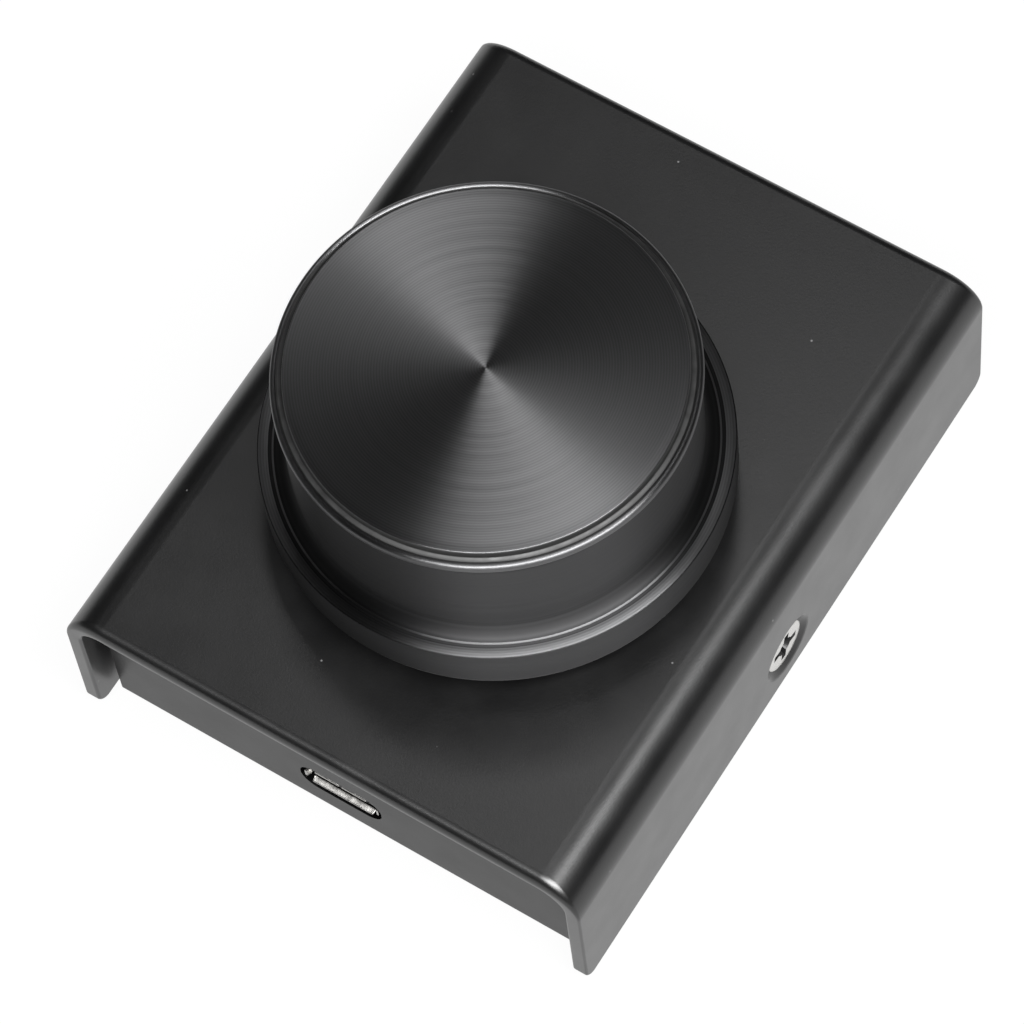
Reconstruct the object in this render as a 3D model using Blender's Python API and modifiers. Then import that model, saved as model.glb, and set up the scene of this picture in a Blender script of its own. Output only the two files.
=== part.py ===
"""A desktop volume-control knob: a folded steel case, a push-and-turn knob and a micro-USB socket.

Frame: metres, +Z up, -Y towards the USB socket, origin at the centre of the footprint on the table.
Run with: blender --background --python part.py
"""

import math

import bmesh
import bpy
from mathutils import Vector

# Driving dimensions, in metres
COVER_WIDTH = 0.055
COVER_LENGTH = 0.0708
COVER_HEIGHT = 0.0185
COVER_SHEET = 0.0016
COVER_BEND_RADIUS = 0.0043
LEG_CORNER_RADIUS = 0.0013
FOOT_HEIGHT = 0.0012
GAP = 0.0003

TRAY_SHEET = 0.0010
TRAY_RECESS = 0.0022
TRAY_WALL_WIDTH = 0.0499
TRAY_BEND_RADIUS = 0.0011
SLOT_WIDTH = 0.0088
SLOT_HEIGHT = 0.0039
SLOT_CENTRE_HEIGHT = 0.0057

KNOB_Y = -0.0039
KNOB_GAP = 0.0033
KNOB_HEIGHT = 0.0194
KNOB_RECESS = 0.0010
FLANGE_RADIUS = 0.0215
KNOB_SEGMENTS = 64

BOARD_WIDTH = 0.040
BOARD_LENGTH = 0.046
BOARD_THICKNESS = 0.0016
BOARD_LIFT = 0.0073

PRESS_TRAVEL = 0.0005

# Heights that follow from the dimensions above
CASE_BOTTOM = FOOT_HEIGHT
COVER_TOP = CASE_BOTTOM + COVER_HEIGHT
COVER_UNDERSIDE = COVER_TOP - COVER_SHEET
TRAY_FLOOR = CASE_BOTTOM + TRAY_SHEET
BOARD_BOTTOM = CASE_BOTTOM + BOARD_LIFT
BOARD_TOP = BOARD_BOTTOM + BOARD_THICKNESS
SLOT_Z = CASE_BOTTOM + SLOT_CENTRE_HEIGHT
KNOB_BOTTOM = COVER_TOP + KNOB_GAP
FRONT_WALL_Y = -COVER_LENGTH / 2 + TRAY_RECESS
BOARD_FRONT_Y = FRONT_WALL_Y + TRAY_SHEET + 0.0005
COVER_INNER_X = COVER_WIDTH / 2 - COVER_SHEET

# Side screws and their countersinks
SIDE_SCREW_Z = CASE_BOTTOM + 0.0053
SCREW_HEAD_RADIUS = 0.0027
COUNTERSINK_RADIUS = 0.0035
SCREW_SHANK_RADIUS = 0.0015
SCREW_HEAD_RECESS = 0.0003

# Encoder stack, as heights above the board's top
CASE_LIFT = GAP
CASE_TOP = 0.0050
BUSHING_PLATE_TOP = 0.0067
BUSHING_TOP = 0.0127
SHAFT_TOP = 0.0262
SHAFT_RADIUS = 0.0030
BUSHING_RADIUS = 0.0035
RUNNING_GAP = 0.00012


def clear_scene():
    """Remove whatever the file holds."""
    for old in list(bpy.data.objects):
        bpy.data.objects.remove(old, do_unlink=True)


def new_collection(name):
    """Add a collection to the scene."""
    collection = bpy.data.collections.new(name)
    bpy.context.scene.collection.children.link(collection)
    return collection


clear_scene()
PARTS = new_collection("volume_control_knob")
CUTTERS = new_collection("cutters")


def new_material(name, colour, roughness, metallic):
    """A Principled material."""
    material = bpy.data.materials.new(name)
    material.use_nodes = True
    shader = material.node_tree.nodes["Principled BSDF"]
    shader.inputs["Base Color"].default_value = (*colour, 1.0)
    shader.inputs["Roughness"].default_value = roughness
    shader.inputs["Metallic"].default_value = metallic
    return material


BLACK_COAT = new_material("black_coated_steel", (0.035, 0.035, 0.037), 0.42, 0.0)
BLACK_ANODISED = new_material("black_anodised_aluminium", (0.05, 0.05, 0.055), 0.3, 1.0)
NICKEL = new_material("nickel_plate", (0.75, 0.74, 0.72), 0.28, 1.0)
STEEL = new_material("steel", (0.55, 0.55, 0.56), 0.35, 1.0)
BRASS = new_material("brass", (0.78, 0.60, 0.30), 0.35, 1.0)
BOARD_GREEN = new_material("board_laminate", (0.02, 0.14, 0.06), 0.45, 0.0)
BLACK_PLASTIC = new_material("black_plastic", (0.03, 0.03, 0.03), 0.5, 0.0)
RUBBER = new_material("rubber", (0.05, 0.05, 0.05), 0.85, 0.0)
TAN_CERAMIC = new_material("capacitor_ceramic", (0.55, 0.42, 0.28), 0.5, 0.0)


def place(name, mesh, material, location=(0.0, 0.0, 0.0), rotation=(0.0, 0.0, 0.0)):
    """Put a mesh in the parts collection, or among the cutters when it has no material."""
    piece = bpy.data.objects.new(name, mesh)
    piece.location = location
    piece.rotation_euler = rotation
    if material is None:
        CUTTERS.objects.link(piece)
        piece.hide_render = True
        piece.display_type = "WIRE"
    else:
        PARTS.objects.link(piece)
        mesh.materials.append(material)
    return piece


def bmesh_to_mesh(name, shape):
    """Turn a bmesh into a mesh with its faces pointing out."""
    bmesh.ops.recalc_face_normals(shape, faces=shape.faces)
    mesh = bpy.data.meshes.new(name)
    shape.to_mesh(mesh)
    shape.free()
    return mesh


def box(name, low, high, material):
    """A box between two corners."""
    low = Vector(low)
    high = Vector(high)
    shape = bmesh.new()
    bmesh.ops.create_cube(shape, size=1.0)
    bmesh.ops.scale(shape, vec=high - low, verts=shape.verts)
    return place(name, bmesh_to_mesh(name, shape), material, (low + high) / 2)


def cone(name, start, end, start_radius, end_radius, material, segments=32):
    """A cylinder or cone between two points."""
    start = Vector(start)
    end = Vector(end)
    axis = end - start
    shape = bmesh.new()
    bmesh.ops.create_cone(
        shape, cap_ends=True, segments=segments, radius1=start_radius, radius2=end_radius, depth=axis.length
    )
    mesh = bmesh_to_mesh(name, shape)
    mesh.shade_smooth()
    mesh.set_sharp_from_angle(angle=math.radians(35))
    turn = axis.to_track_quat("Z", "Y").to_euler()
    return place(name, mesh, material, (start + end) / 2, turn)


def turned(name, profile, material, location=(0.0, 0.0, 0.0), segments=KNOB_SEGMENTS):
    """A turned solid: (radius, height) points from the top axis point, down the outside, to the bottom."""
    shape = bmesh.new()
    verts = [shape.verts.new((radius, 0.0, height)) for radius, height in profile]
    for upper, lower in zip(verts, verts[1:]):
        shape.edges.new((upper, lower))
    mesh = bpy.data.meshes.new(name)
    shape.to_mesh(mesh)
    shape.free()
    piece = place(name, mesh, material, location)
    screw = piece.modifiers.new("turn", "SCREW")
    screw.steps = segments
    screw.render_steps = segments
    screw.use_merge_vertices = True
    screw.merge_threshold = 0.00001
    screw.use_smooth_shade = True
    return piece


def turned_ring(name, profile, material, location=(0.0, 0.0, 0.0), segments=32):
    """A turned ring: a closed (radius, height) section that stays clear of the axis."""
    return turned(name, profile + profile[:1], material, location, segments)


def arc(centre, radius, start, end, steps):
    """Points along an arc, angles in degrees."""
    points = []
    for step in range(steps + 1):
        angle = math.radians(start + (end - start) * step / steps)
        points.append((centre[0] + radius * math.cos(angle), centre[1] + radius * math.sin(angle)))
    return points


PLANES = {
    "XY": (0.0, 0.0, 0.0),
    "XZ": (math.pi / 2, 0.0, 0.0),
    "YZ": (math.pi / 2, 0.0, math.pi / 2),
}


def extruded(name, outlines, thickness, plane, location, material):
    """A flat outline, with any holes, given half its thickness on each side of its plane."""
    curve = bpy.data.curves.new(name, "CURVE")
    curve.dimensions = "2D"
    curve.fill_mode = "BOTH"
    curve.extrude = thickness / 2
    for outline in outlines:
        spline = curve.splines.new("POLY")
        spline.points.add(len(outline) - 1)
        spline.use_cyclic_u = True
        for point, (u, v) in zip(spline.points, outline):
            point.co = (u, v, 0.0, 1.0)
    sketch = bpy.data.objects.new(name + "_sketch", curve)
    CUTTERS.objects.link(sketch)
    sketch.location = location
    sketch.rotation_euler = PLANES[plane]
    bpy.context.view_layer.update()
    mesh = bpy.data.meshes.new_from_object(sketch.evaluated_get(bpy.context.evaluated_depsgraph_get()))
    shape = bmesh.new()
    shape.from_mesh(mesh)
    bmesh.ops.remove_doubles(shape, verts=shape.verts, dist=0.000001)
    bmesh.ops.recalc_face_normals(shape, faces=shape.faces)
    shape.to_mesh(mesh)
    shape.free()
    mesh.materials.clear()
    piece = place(name, mesh, material)
    piece.matrix_world = sketch.matrix_world
    bpy.data.objects.remove(sketch, do_unlink=True)
    return piece


def rounded_rectangle(width, height, radius, steps=6):
    """An outline centred on zero with round corners."""
    x = width / 2 - radius
    y = height / 2 - radius
    corners = ((x, y, 0), (-x, y, 90), (-x, -y, 180), (x, -y, 270))
    outline = []
    for corner_x, corner_y, start in corners:
        outline += arc((corner_x, corner_y), radius, start, start + 90, steps)
    return outline


def boolean(piece, other, operation):
    """Cut a piece with another object, join one to it, or keep what they share."""
    modifier = piece.modifiers.new(other.name, "BOOLEAN")
    modifier.operation = operation
    modifier.object = other
    modifier.solver = "EXACT"


def cut(piece, cutters):
    """Take each cutter out of a piece."""
    for cutter in cutters:
        boolean(piece, cutter, "DIFFERENCE")


def join(piece, others):
    """Add each other shape to a piece."""
    for other in others:
        boolean(piece, other, "UNION")


def axis_empty(name, location):
    """An empty on a joint's axis, which carries the moving pieces."""
    empty = bpy.data.objects.new(name, None)
    empty.location = location
    PARTS.objects.link(empty)
    bpy.context.view_layer.update()
    return empty


def carry(empty, pieces):
    """Parent pieces to an empty and keep them where they are."""
    for piece in pieces:
        piece.parent = empty
        piece.matrix_parent_inverse = empty.matrix_world.inverted()


def cover():
    """The folded cover: a U of sheet, open at its front, back and underside."""
    half = COVER_WIDTH / 2
    inner = half - COVER_SHEET
    bend = COVER_BEND_RADIUS
    inner_bend = bend - COVER_SHEET
    centre_x = half - bend
    centre_z = COVER_TOP - bend
    outline = [(half, CASE_BOTTOM)]
    outline += arc((centre_x, centre_z), bend, 0, 90, 8)
    outline += arc((-centre_x, centre_z), bend, 90, 180, 8)
    outline += [(-half, CASE_BOTTOM), (-inner, CASE_BOTTOM)]
    outline += arc((-centre_x, centre_z), inner_bend, 180, 90, 6)
    outline += arc((centre_x, centre_z), inner_bend, 90, 0, 6)
    outline += [(inner, CASE_BOTTOM)]
    body = extruded("cover", [outline], COVER_LENGTH, "XZ", (0, 0, 0), BLACK_COAT)

    side = COVER_LENGTH / 2
    corner = LEG_CORNER_RADIUS
    silhouette = [(side, COVER_TOP + 0.001), (-side, COVER_TOP + 0.001)]
    silhouette += arc((-side + corner, CASE_BOTTOM + corner), corner, 180, 270, 5)
    silhouette += arc((side - corner, CASE_BOTTOM + corner), corner, 270, 360, 5)
    trim = extruded("cover_side_view", [silhouette], COVER_WIDTH + 0.002, "YZ", (0, 0, 0), None)
    boolean(body, trim, "INTERSECT")

    cutters = [hole_cutter("cover_bushing_hole", BUSHING_RADIUS + 0.00035, COVER_UNDERSIDE, COVER_TOP)]
    for side_name, sign in (("left", -1), ("right", 1)):
        cutters += countersink(side_name, sign)
    cut(body, cutters)


def hole_cutter(name, radius, low, high):
    """A vertical cutter on the knob's axis that runs past both faces."""
    over = 0.001
    return cone(name, (0, KNOB_Y, low - over), (0, KNOB_Y, high + over), radius, radius, None)


def countersink(side_name, sign):
    """The conical seat and the clearance hole for one side screw."""
    outer = sign * COVER_WIDTH / 2
    over = 0.0004
    depth = COVER_SHEET + over
    seat = cone(
        f"countersink_{side_name}",
        (outer + sign * over, 0, SIDE_SCREW_Z),
        (outer - sign * depth, 0, SIDE_SCREW_Z),
        COUNTERSINK_RADIUS + over,
        COUNTERSINK_RADIUS - depth,
        None,
    )
    hole = cone(
        f"screw_hole_{side_name}",
        (outer, 0, SIDE_SCREW_Z),
        (outer - sign * 0.006, 0, SIDE_SCREW_Z),
        SCREW_SHANK_RADIUS + GAP,
        SCREW_SHANK_RADIUS + GAP,
        None,
    )
    return [seat, hole]


def side_screw(side_name, sign):
    """A countersunk cross-recess screw that holds the cover to the tray."""
    outer = sign * (COVER_WIDTH / 2 - SCREW_HEAD_RECESS)
    head_edge = 0.0002
    length = 0.0056
    shank = SCREW_SHANK_RADIUS - 0.00005
    head_depth = head_edge + SCREW_HEAD_RADIUS - shank
    profile = [
        (0, 0),
        (SCREW_HEAD_RADIUS, 0),
        (SCREW_HEAD_RADIUS, -head_edge),
        (shank, -head_depth),
        (shank, -length),
        (0, -length),
    ]
    screw = turned(f"side_screw_{side_name}", profile, NICKEL, (outer, 0, SIDE_SCREW_Z), 32)
    screw.rotation_euler = (0, sign * math.pi / 2, 0)
    arm = 0.0016
    width = 0.00035
    depth = 0.0007
    low_x, high_x = sorted((outer + sign * 0.0005, outer - sign * depth))
    slots = []
    for label, half_y, half_z in (("a", arm, width), ("b", width, arm)):
        slot = box(
            f"recess_{label}_{side_name}",
            (low_x, -half_y, SIDE_SCREW_Z - half_z),
            (high_x, half_y, SIDE_SCREW_Z + half_z),
            None,
        )
        slots.append(slot)
    cut(screw, slots)


def tray_outline():
    """The tray's side view: floor, two bends and two upright walls."""
    outer = -FRONT_WALL_Y
    inner = outer - TRAY_SHEET
    bend = TRAY_BEND_RADIUS
    inner_bend = bend - TRAY_SHEET
    centre_y = outer - bend
    centre_z = CASE_BOTTOM + bend
    top = COVER_UNDERSIDE - GAP
    outline = [(outer, top), (inner, top)]
    outline += arc((centre_y, centre_z), inner_bend, 0, -90, 3)
    outline += arc((-centre_y, centre_z), inner_bend, 270, 180, 3)
    outline += [(-inner, top), (-outer, top)]
    outline += arc((-centre_y, centre_z), bend, 180, 270, 6)
    outline += arc((centre_y, centre_z), bend, 270, 360, 6)
    return outline


def tray_front_view():
    """The tray's front view, whose top corners clear the inside of the cover's bends."""
    half = TRAY_WALL_WIDTH / 2
    corner = 0.0032
    low = CASE_BOTTOM - 0.001
    top = COVER_UNDERSIDE - GAP
    outline = [(-half, low), (half, low)]
    outline += arc((half - corner, top - corner), corner, 0, 90, 5)
    outline += arc((-half + corner, top - corner), corner, 90, 180, 5)
    return extruded("tray_front_view", [outline], COVER_LENGTH, "XZ", (0, 0, 0), None)


def tray_tab(side_name, sign):
    """A side tab bent up from the floor, which takes the side screw."""
    outer = COVER_INNER_X - GAP
    inner = outer - TRAY_SHEET
    root = outer - 0.004
    low = CASE_BOTTOM
    outline = [
        (sign * root, low),
        (sign * outer, low),
        (sign * outer, low + 0.011),
        (sign * inner, low + 0.011),
        (sign * inner, TRAY_FLOOR),
        (sign * root, TRAY_FLOOR),
    ]
    return extruded(f"tray_tab_{side_name}", [outline], 0.022, "XZ", (0, 0, 0), None)


def tray():
    """The folded tray: floor, front and back walls, side tabs, socket slot and screw holes."""
    body = extruded("base_tray", [tray_outline()], TRAY_WALL_WIDTH + 0.001, "YZ", (0, 0, 0), BLACK_COAT)
    boolean(body, tray_front_view(), "INTERSECT")
    join(body, [tray_tab("left", -1), tray_tab("right", 1)])
    for side_name, sign in (("left", -1), ("right", 1)):
        centre = sign * COVER_INNER_X
        tap = cone(
            f"tab_hole_{side_name}",
            (centre + sign * 0.001, 0, SIDE_SCREW_Z),
            (centre - sign * 0.003, 0, SIDE_SCREW_Z),
            SCREW_SHANK_RADIUS + 0.00008,
            SCREW_SHANK_RADIUS + 0.00008,
            None,
        )
        cut(body, [tap])
    slot = extruded(
        "socket_slot",
        [rounded_rectangle(SLOT_WIDTH, SLOT_HEIGHT, 0.0018)],
        0.004,
        "XZ",
        (0, FRONT_WALL_Y + TRAY_SHEET / 2, SLOT_Z),
        None,
    )
    cut(body, [slot])
    holes = []
    for name, x, y in corner_positions():
        low = (x, y, CASE_BOTTOM - 0.001)
        high = (x, y, TRAY_FLOOR + 0.001)
        holes.append(cone(f"tray_hole_{name}", low, high, 0.0016, 0.0016, None, 16))
    cut(body, holes)


def corner_positions():
    """The four board fixing points."""
    x = BOARD_WIDTH / 2 - 0.003
    front = BOARD_FRONT_Y + 0.0035
    rear = BOARD_FRONT_Y + BOARD_LENGTH - 0.003
    return (
        ("front_left", -x, front),
        ("front_right", x, front),
        ("rear_left", -x, rear),
        ("rear_right", x, rear),
    )


def feet():
    """Four round stick-on rubber feet under the tray."""
    top = CASE_BOTTOM - 0.00002
    for y_name, y in (("front", -0.0275), ("rear", 0.0275)):
        for x_name, x in (("left", -0.0195), ("right", 0.0195)):
            radius = 0.004
            profile = [(0, top), (radius, top), (radius, 0.0002), (radius - 0.0002, 0), (0, 0)]
            turned(f"foot_{y_name}_{x_name}", profile, RUBBER, (x, y, 0), 24)


def standoffs_and_board_screws():
    """A hexagonal standoff, clinched in the tray, and a pan-head screw at each board corner."""
    bottom = TRAY_FLOOR + GAP
    top = BOARD_BOTTOM - GAP
    for name, x, y in corner_positions():
        body = cone(f"standoff_{name}", (x, y, bottom), (x, y, top), 0.0024, 0.0024, STEEL, 6)
        stub_ends = ((x, y, CASE_BOTTOM + 0.0002), (x, y, bottom + 0.001))
        join(body, [cone(f"stub_{name}", *stub_ends, 0.0013, 0.0013, None, 16)])
        bore_ends = ((x, y, bottom + 0.0012), (x, y, top + 0.001))
        cut(body, [cone(f"standoff_bore_{name}", *bore_ends, 0.00125, 0.00125, None, 16)])
        seat = BOARD_TOP + GAP
        head_top = seat + 0.0013
        profile = [
            (0, head_top),
            (0.0012, head_top - 0.0001),
            (0.0019, head_top - 0.0005),
            (0.0021, seat + 0.0003),
            (0.0021, seat),
            (0.0011, seat),
            (0.0011, top - 0.0025),
            (0, top - 0.0025),
        ]
        screw = turned(f"board_screw_{name}", profile, NICKEL, (x, y, 0), 16)
        low = head_top - 0.0007
        high = head_top + 0.0007
        for label, half_x, half_y in (("a", 0.0011, 0.00025), ("b", 0.00025, 0.0011)):
            ends = ((x - half_x, y - half_y, low), (x + half_x, y + half_y, high))
            cut(screw, [box(f"board_recess_{label}_{name}", *ends, None)])


def terminal_positions():
    """The encoder's pins: three for turning at the front, two for the switch at the back."""
    pins = [(f"encoder_pin_{index + 1}", (index - 1) * 0.0025, KNOB_Y - 0.0052) for index in range(3)]
    pins += [(f"switch_pin_{index + 1}", (index - 0.5) * 0.005, KNOB_Y + 0.0052) for index in range(2)]
    return pins


def circuit_board():
    """The board, with its fixing holes and pin holes."""
    centre_y = BOARD_FRONT_Y + BOARD_LENGTH / 2
    board = extruded(
        "circuit_board",
        [rounded_rectangle(BOARD_WIDTH, BOARD_LENGTH, 0.0015)],
        BOARD_THICKNESS,
        "XY",
        (0, centre_y, BOARD_BOTTOM + BOARD_THICKNESS / 2),
        BOARD_GREEN,
    )
    holes = []
    over = 0.0008
    for name, x, y in corner_positions():
        ends = ((x, y, BOARD_BOTTOM - over), (x, y, BOARD_TOP + over))
        holes.append(cone(f"board_hole_{name}", *ends, 0.00145, 0.00145, None, 16))
    for name, x, y in terminal_positions():
        ends = ((x, y, BOARD_BOTTOM - over), (x, y, BOARD_TOP + over))
        holes.append(cone(f"hole_{name}", *ends, 0.0007, 0.0007, None, 12))
    cut(board, holes)


def socket_section(side, floor, roof, low, high):
    """The socket's keystone section, narrower at the top: half widths, then heights about its centre."""
    right = [(floor, low), (side, low * 0.55), (side, high * 0.15), (roof, high)]
    left = [(-x, z) for x, z in reversed(right)]
    return right + left


def usb_shell():
    """The socket's sheet shell: a keystone tube with a flared mouth, slit at its top."""
    mouth_y = FRONT_WALL_Y + 0.0001
    mouth = socket_section(0.0040, 0.0033, 0.0028, -0.00145, 0.00165)
    throat = socket_section(0.00375, 0.0032, 0.0029, -0.00125, 0.00125)
    stations = ((mouth_y, mouth), (mouth_y + 0.0008, throat), (mouth_y + 0.0056, throat))
    shape = bmesh.new()
    rings = []
    for y, section in stations:
        rings.append([shape.verts.new((x, y, SLOT_Z + z)) for x, z in section])
    for front, rear in zip(rings, rings[1:]):
        for index in range(len(front)):
            follow = (index + 1) % len(front)
            shape.faces.new((front[index], front[follow], rear[follow], rear[index]))
    shell = place("usb_shell", bmesh_to_mesh("usb_shell", shape), NICKEL)
    wall = shell.modifiers.new("wall", "SOLIDIFY")
    wall.thickness = 0.00025
    wall.offset = -1.0
    slit = box(
        "shell_slit",
        (-0.0002, mouth_y - 0.001, SLOT_Z),
        (0.0002, mouth_y + 0.0006, SLOT_Z + 0.004),
        None,
    )
    cut(shell, [slit])


def usb_insulator():
    """The socket's moulded block and tongue."""
    rear = FRONT_WALL_Y + 0.0059
    block = box(
        "usb_insulator",
        (-0.0026, rear - 0.0018, SLOT_Z - 0.0007),
        (0.0026, rear, SLOT_Z + 0.0007),
        BLACK_PLASTIC,
    )
    tongue = box(
        "usb_tongue",
        (-0.0018, FRONT_WALL_Y + 0.0014, SLOT_Z + 0.0001),
        (0.0018, rear - 0.0010, SLOT_Z + 0.00065),
        None,
    )
    join(block, [tongue])


def usb_contacts():
    """Five spring contacts under the tongue, whose tails turn up to the board."""
    front = FRONT_WALL_Y + 0.0018
    back = FRONT_WALL_Y + 0.0075
    low = SLOT_Z - 0.00092
    thick = 0.00015
    under = SLOT_Z - 0.00025
    top = BOARD_BOTTOM - GAP
    step = FRONT_WALL_Y + 0.0038
    outline = [
        (front, under),
        (step - 0.0003, under),
        (step, low),
        (back, low),
        (back, top - thick),
        (back + 0.0009, top - thick),
        (back + 0.0009, top),
        (back - thick, top),
        (back - thick, low + thick),
        (step + 0.0001, low + thick),
        (step - 0.0002, under + thick),
        (front, under + thick),
    ]
    for index in range(5):
        x = (index - 2) * 0.00065
        extruded(f"usb_contact_{index + 1}", [outline], 0.00022, "YZ", (x, 0, 0), BRASS)


def chip():
    """The controller: a gull-wing package hung under the board."""
    centre_y = BOARD_FRONT_Y + 0.0145
    top = BOARD_BOTTOM - GAP
    length = 0.0099
    half_width = 0.00195
    body = box(
        "controller_chip",
        (-length / 2, centre_y - half_width, top - 0.0016),
        (length / 2, centre_y + half_width, top - 0.0002),
        BLACK_PLASTIC,
    )
    leg_outline = [
        (0.0017, -0.0010),
        (0.0024, -0.0010),
        (0.0026, -0.0002),
        (0.0031, -0.0002),
        (0.0031, 0.0),
        (0.00245, 0.0),
        (0.00225, -0.0008),
        (0.0017, -0.0008),
    ]
    legs = []
    for row, sign in (("front", -1), ("rear", 1)):
        outline = [(centre_y + sign * offset, top + height) for offset, height in leg_outline]
        for index in range(8):
            x = (index - 3.5) * 0.00127
            legs.append(extruded(f"chip_leg_{row}_{index + 1}", [outline], 0.0004, "YZ", (x, 0, 0), None))
    join(body, legs)


def small_components():
    """The crystal and the ceramic capacitors under the board."""
    top = BOARD_BOTTOM - GAP
    crystal_y = BOARD_FRONT_Y + 0.023
    extruded(
        "crystal_can",
        [rounded_rectangle(0.0108, 0.0044, 0.00215, 8)],
        0.0034,
        "XY",
        (-0.009, crystal_y, top - 0.0017),
        NICKEL,
    )
    places = ((0.0085, 0.010), (0.0085, 0.0145), (-0.0085, 0.0105), (0.0085, 0.019))
    for index, (x, offset) in enumerate(places):
        y = BOARD_FRONT_Y + offset
        low = (x - 0.001, y - 0.0006, top - 0.0010)
        high = (x + 0.001, y + 0.0006, top)
        box(f"capacitor_{index + 1}", low, high, TAN_CERAMIC)


def encoder_case():
    """The encoder's moulded cup, with a pocket for the switch in its floor."""
    half = 0.0060
    low = BOARD_TOP + CASE_LIFT
    body = box(
        "encoder_case",
        (-half, KNOB_Y - half, low),
        (half, KNOB_Y + half, BOARD_TOP + CASE_TOP),
        BLACK_PLASTIC,
    )
    cavity = cone(
        "encoder_cavity",
        (0, KNOB_Y, BOARD_TOP + 0.0016),
        (0, KNOB_Y, BOARD_TOP + CASE_TOP + 0.001),
        0.0052,
        0.0052,
        None,
    )
    pocket = cone(
        "switch_pocket",
        (0, KNOB_Y, BOARD_TOP + 0.0007),
        (0, KNOB_Y, BOARD_TOP + 0.0020),
        0.0030,
        0.0030,
        None,
    )
    cut(body, [cavity, pocket])


def encoder_bushing():
    """The die-cast top plate with its bushing, which guides the shaft."""
    half = 0.0060
    plate = box(
        "encoder_bushing",
        (-half, KNOB_Y - half, BOARD_TOP + CASE_TOP + GAP),
        (half, KNOB_Y + half, BOARD_TOP + BUSHING_PLATE_TOP),
        STEEL,
    )
    low = BOARD_TOP + CASE_TOP + GAP
    start = (0, KNOB_Y, low + 0.0005)
    barrel = cone(
        "bushing_barrel", start, (0, KNOB_Y, BOARD_TOP + BUSHING_TOP), BUSHING_RADIUS, BUSHING_RADIUS, None
    )
    join(plate, [barrel])
    bore_radius = SHAFT_RADIUS + RUNNING_GAP
    bore = hole_cutter("bushing_bore", bore_radius, low, BOARD_TOP + BUSHING_TOP)
    cut(plate, [bore])


def bushing_hardware():
    """The spacer under the cover, and the washer and nut on top of it."""
    outer = 0.0055
    inner = BUSHING_RADIUS + 0.0002
    low = BOARD_TOP + BUSHING_PLATE_TOP + GAP
    high = COVER_UNDERSIDE - GAP
    section = [(outer, high), (outer, low), (inner, low), (inner, high)]
    turned_ring("bushing_spacer", section, STEEL, (0, KNOB_Y, 0))
    low = COVER_TOP + GAP
    high = low + 0.0004
    section = [(outer, high), (outer, low), (inner, low), (inner, high)]
    turned_ring("bushing_washer", section, STEEL, (0, KNOB_Y, 0))
    low = high + GAP
    nut = cone("bushing_nut", (0, KNOB_Y, low), (0, KNOB_Y, low + 0.0020), 0.0058, 0.0058, NICKEL, 6)
    thread = hole_cutter("nut_thread", inner, low, low + 0.0020)
    cut(nut, [thread])


def encoder_rotor():
    """The contact disc, with a bore that two flats on the shaft turn."""
    low = BOARD_TOP + 0.0026
    high = BOARD_TOP + 0.0042
    rotor = cone("encoder_rotor", (0, KNOB_Y, low), (0, KNOB_Y, high), 0.0048, 0.0048, BLACK_PLASTIC)
    bore = extruded(
        "rotor_bore",
        [double_flat(0.0022 + RUNNING_GAP, 0.0016 + RUNNING_GAP)],
        0.006,
        "XY",
        (0, KNOB_Y, (low + high) / 2),
        None,
    )
    cut(rotor, [bore])
    return rotor


def double_flat(radius, half_width):
    """A circle with two opposite flats."""
    reach = math.degrees(math.asin(half_width / radius))
    outline = arc((0, 0), radius, -reach, reach, 8)
    outline += arc((0, 0), radius, 180 - reach, 180 + reach, 8)
    return outline


def detent_spring():
    """The leaf ring that gives the knob its clicks."""
    low = BOARD_TOP + 0.0045
    high = BOARD_TOP + 0.0047
    section = [(0.0048, high), (0.0048, low), (0.0036, low), (0.0036, high)]
    turned_ring("detent_spring", section, BRASS, (0, KNOB_Y, 0))


def encoder_pins():
    """The pins that stand through the board."""
    for name, x, y in terminal_positions():
        low = (x - 0.0004, y - 0.00015, BOARD_BOTTOM - 0.0012)
        high = (x + 0.0004, y + 0.00015, BOARD_TOP + 0.00002)
        box(name, low, high, NICKEL)


def encoder_shaft():
    """The shaft: a flat for the knob above, two flats for the rotor below."""
    shoulder = BOARD_TOP + 0.0053
    top = BOARD_TOP + SHAFT_TOP
    ends = ((0, KNOB_Y, shoulder), (0, KNOB_Y, top))
    shaft = cone("encoder_shaft", *ends, SHAFT_RADIUS, SHAFT_RADIUS, STEEL)
    low = BOARD_TOP + 0.0025
    key_height = shoulder + 0.001 - low
    key = extruded(
        "shaft_key",
        [double_flat(0.0022, 0.0016)],
        key_height,
        "XY",
        (0, KNOB_Y, low + key_height / 2),
        None,
    )
    join(shaft, [key])
    flat = box(
        "shaft_flat",
        (-0.004, KNOB_Y + 0.0015, KNOB_BOTTOM + 0.0023),
        (0.004, KNOB_Y + 0.005, top + 0.001),
        None,
    )
    cut(shaft, [flat])
    return shaft


def switch():
    """The push switch under the shaft: its plunger and its snap disc."""
    disc_low = BOARD_TOP + 0.0010
    turned(
        "switch_disc",
        [(0, disc_low + 0.00015), (0.0026, disc_low + 0.00015), (0.0026, disc_low), (0, disc_low)],
        STEEL,
        (0, KNOB_Y, 0),
        32,
    )
    low = disc_low + 0.00015 + PRESS_TRAVEL + 0.00015
    high = low + 0.0004
    return cone("switch_plunger", (0, KNOB_Y, low), (0, KNOB_Y, high), 0.0017, 0.0017, BLACK_PLASTIC)


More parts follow.
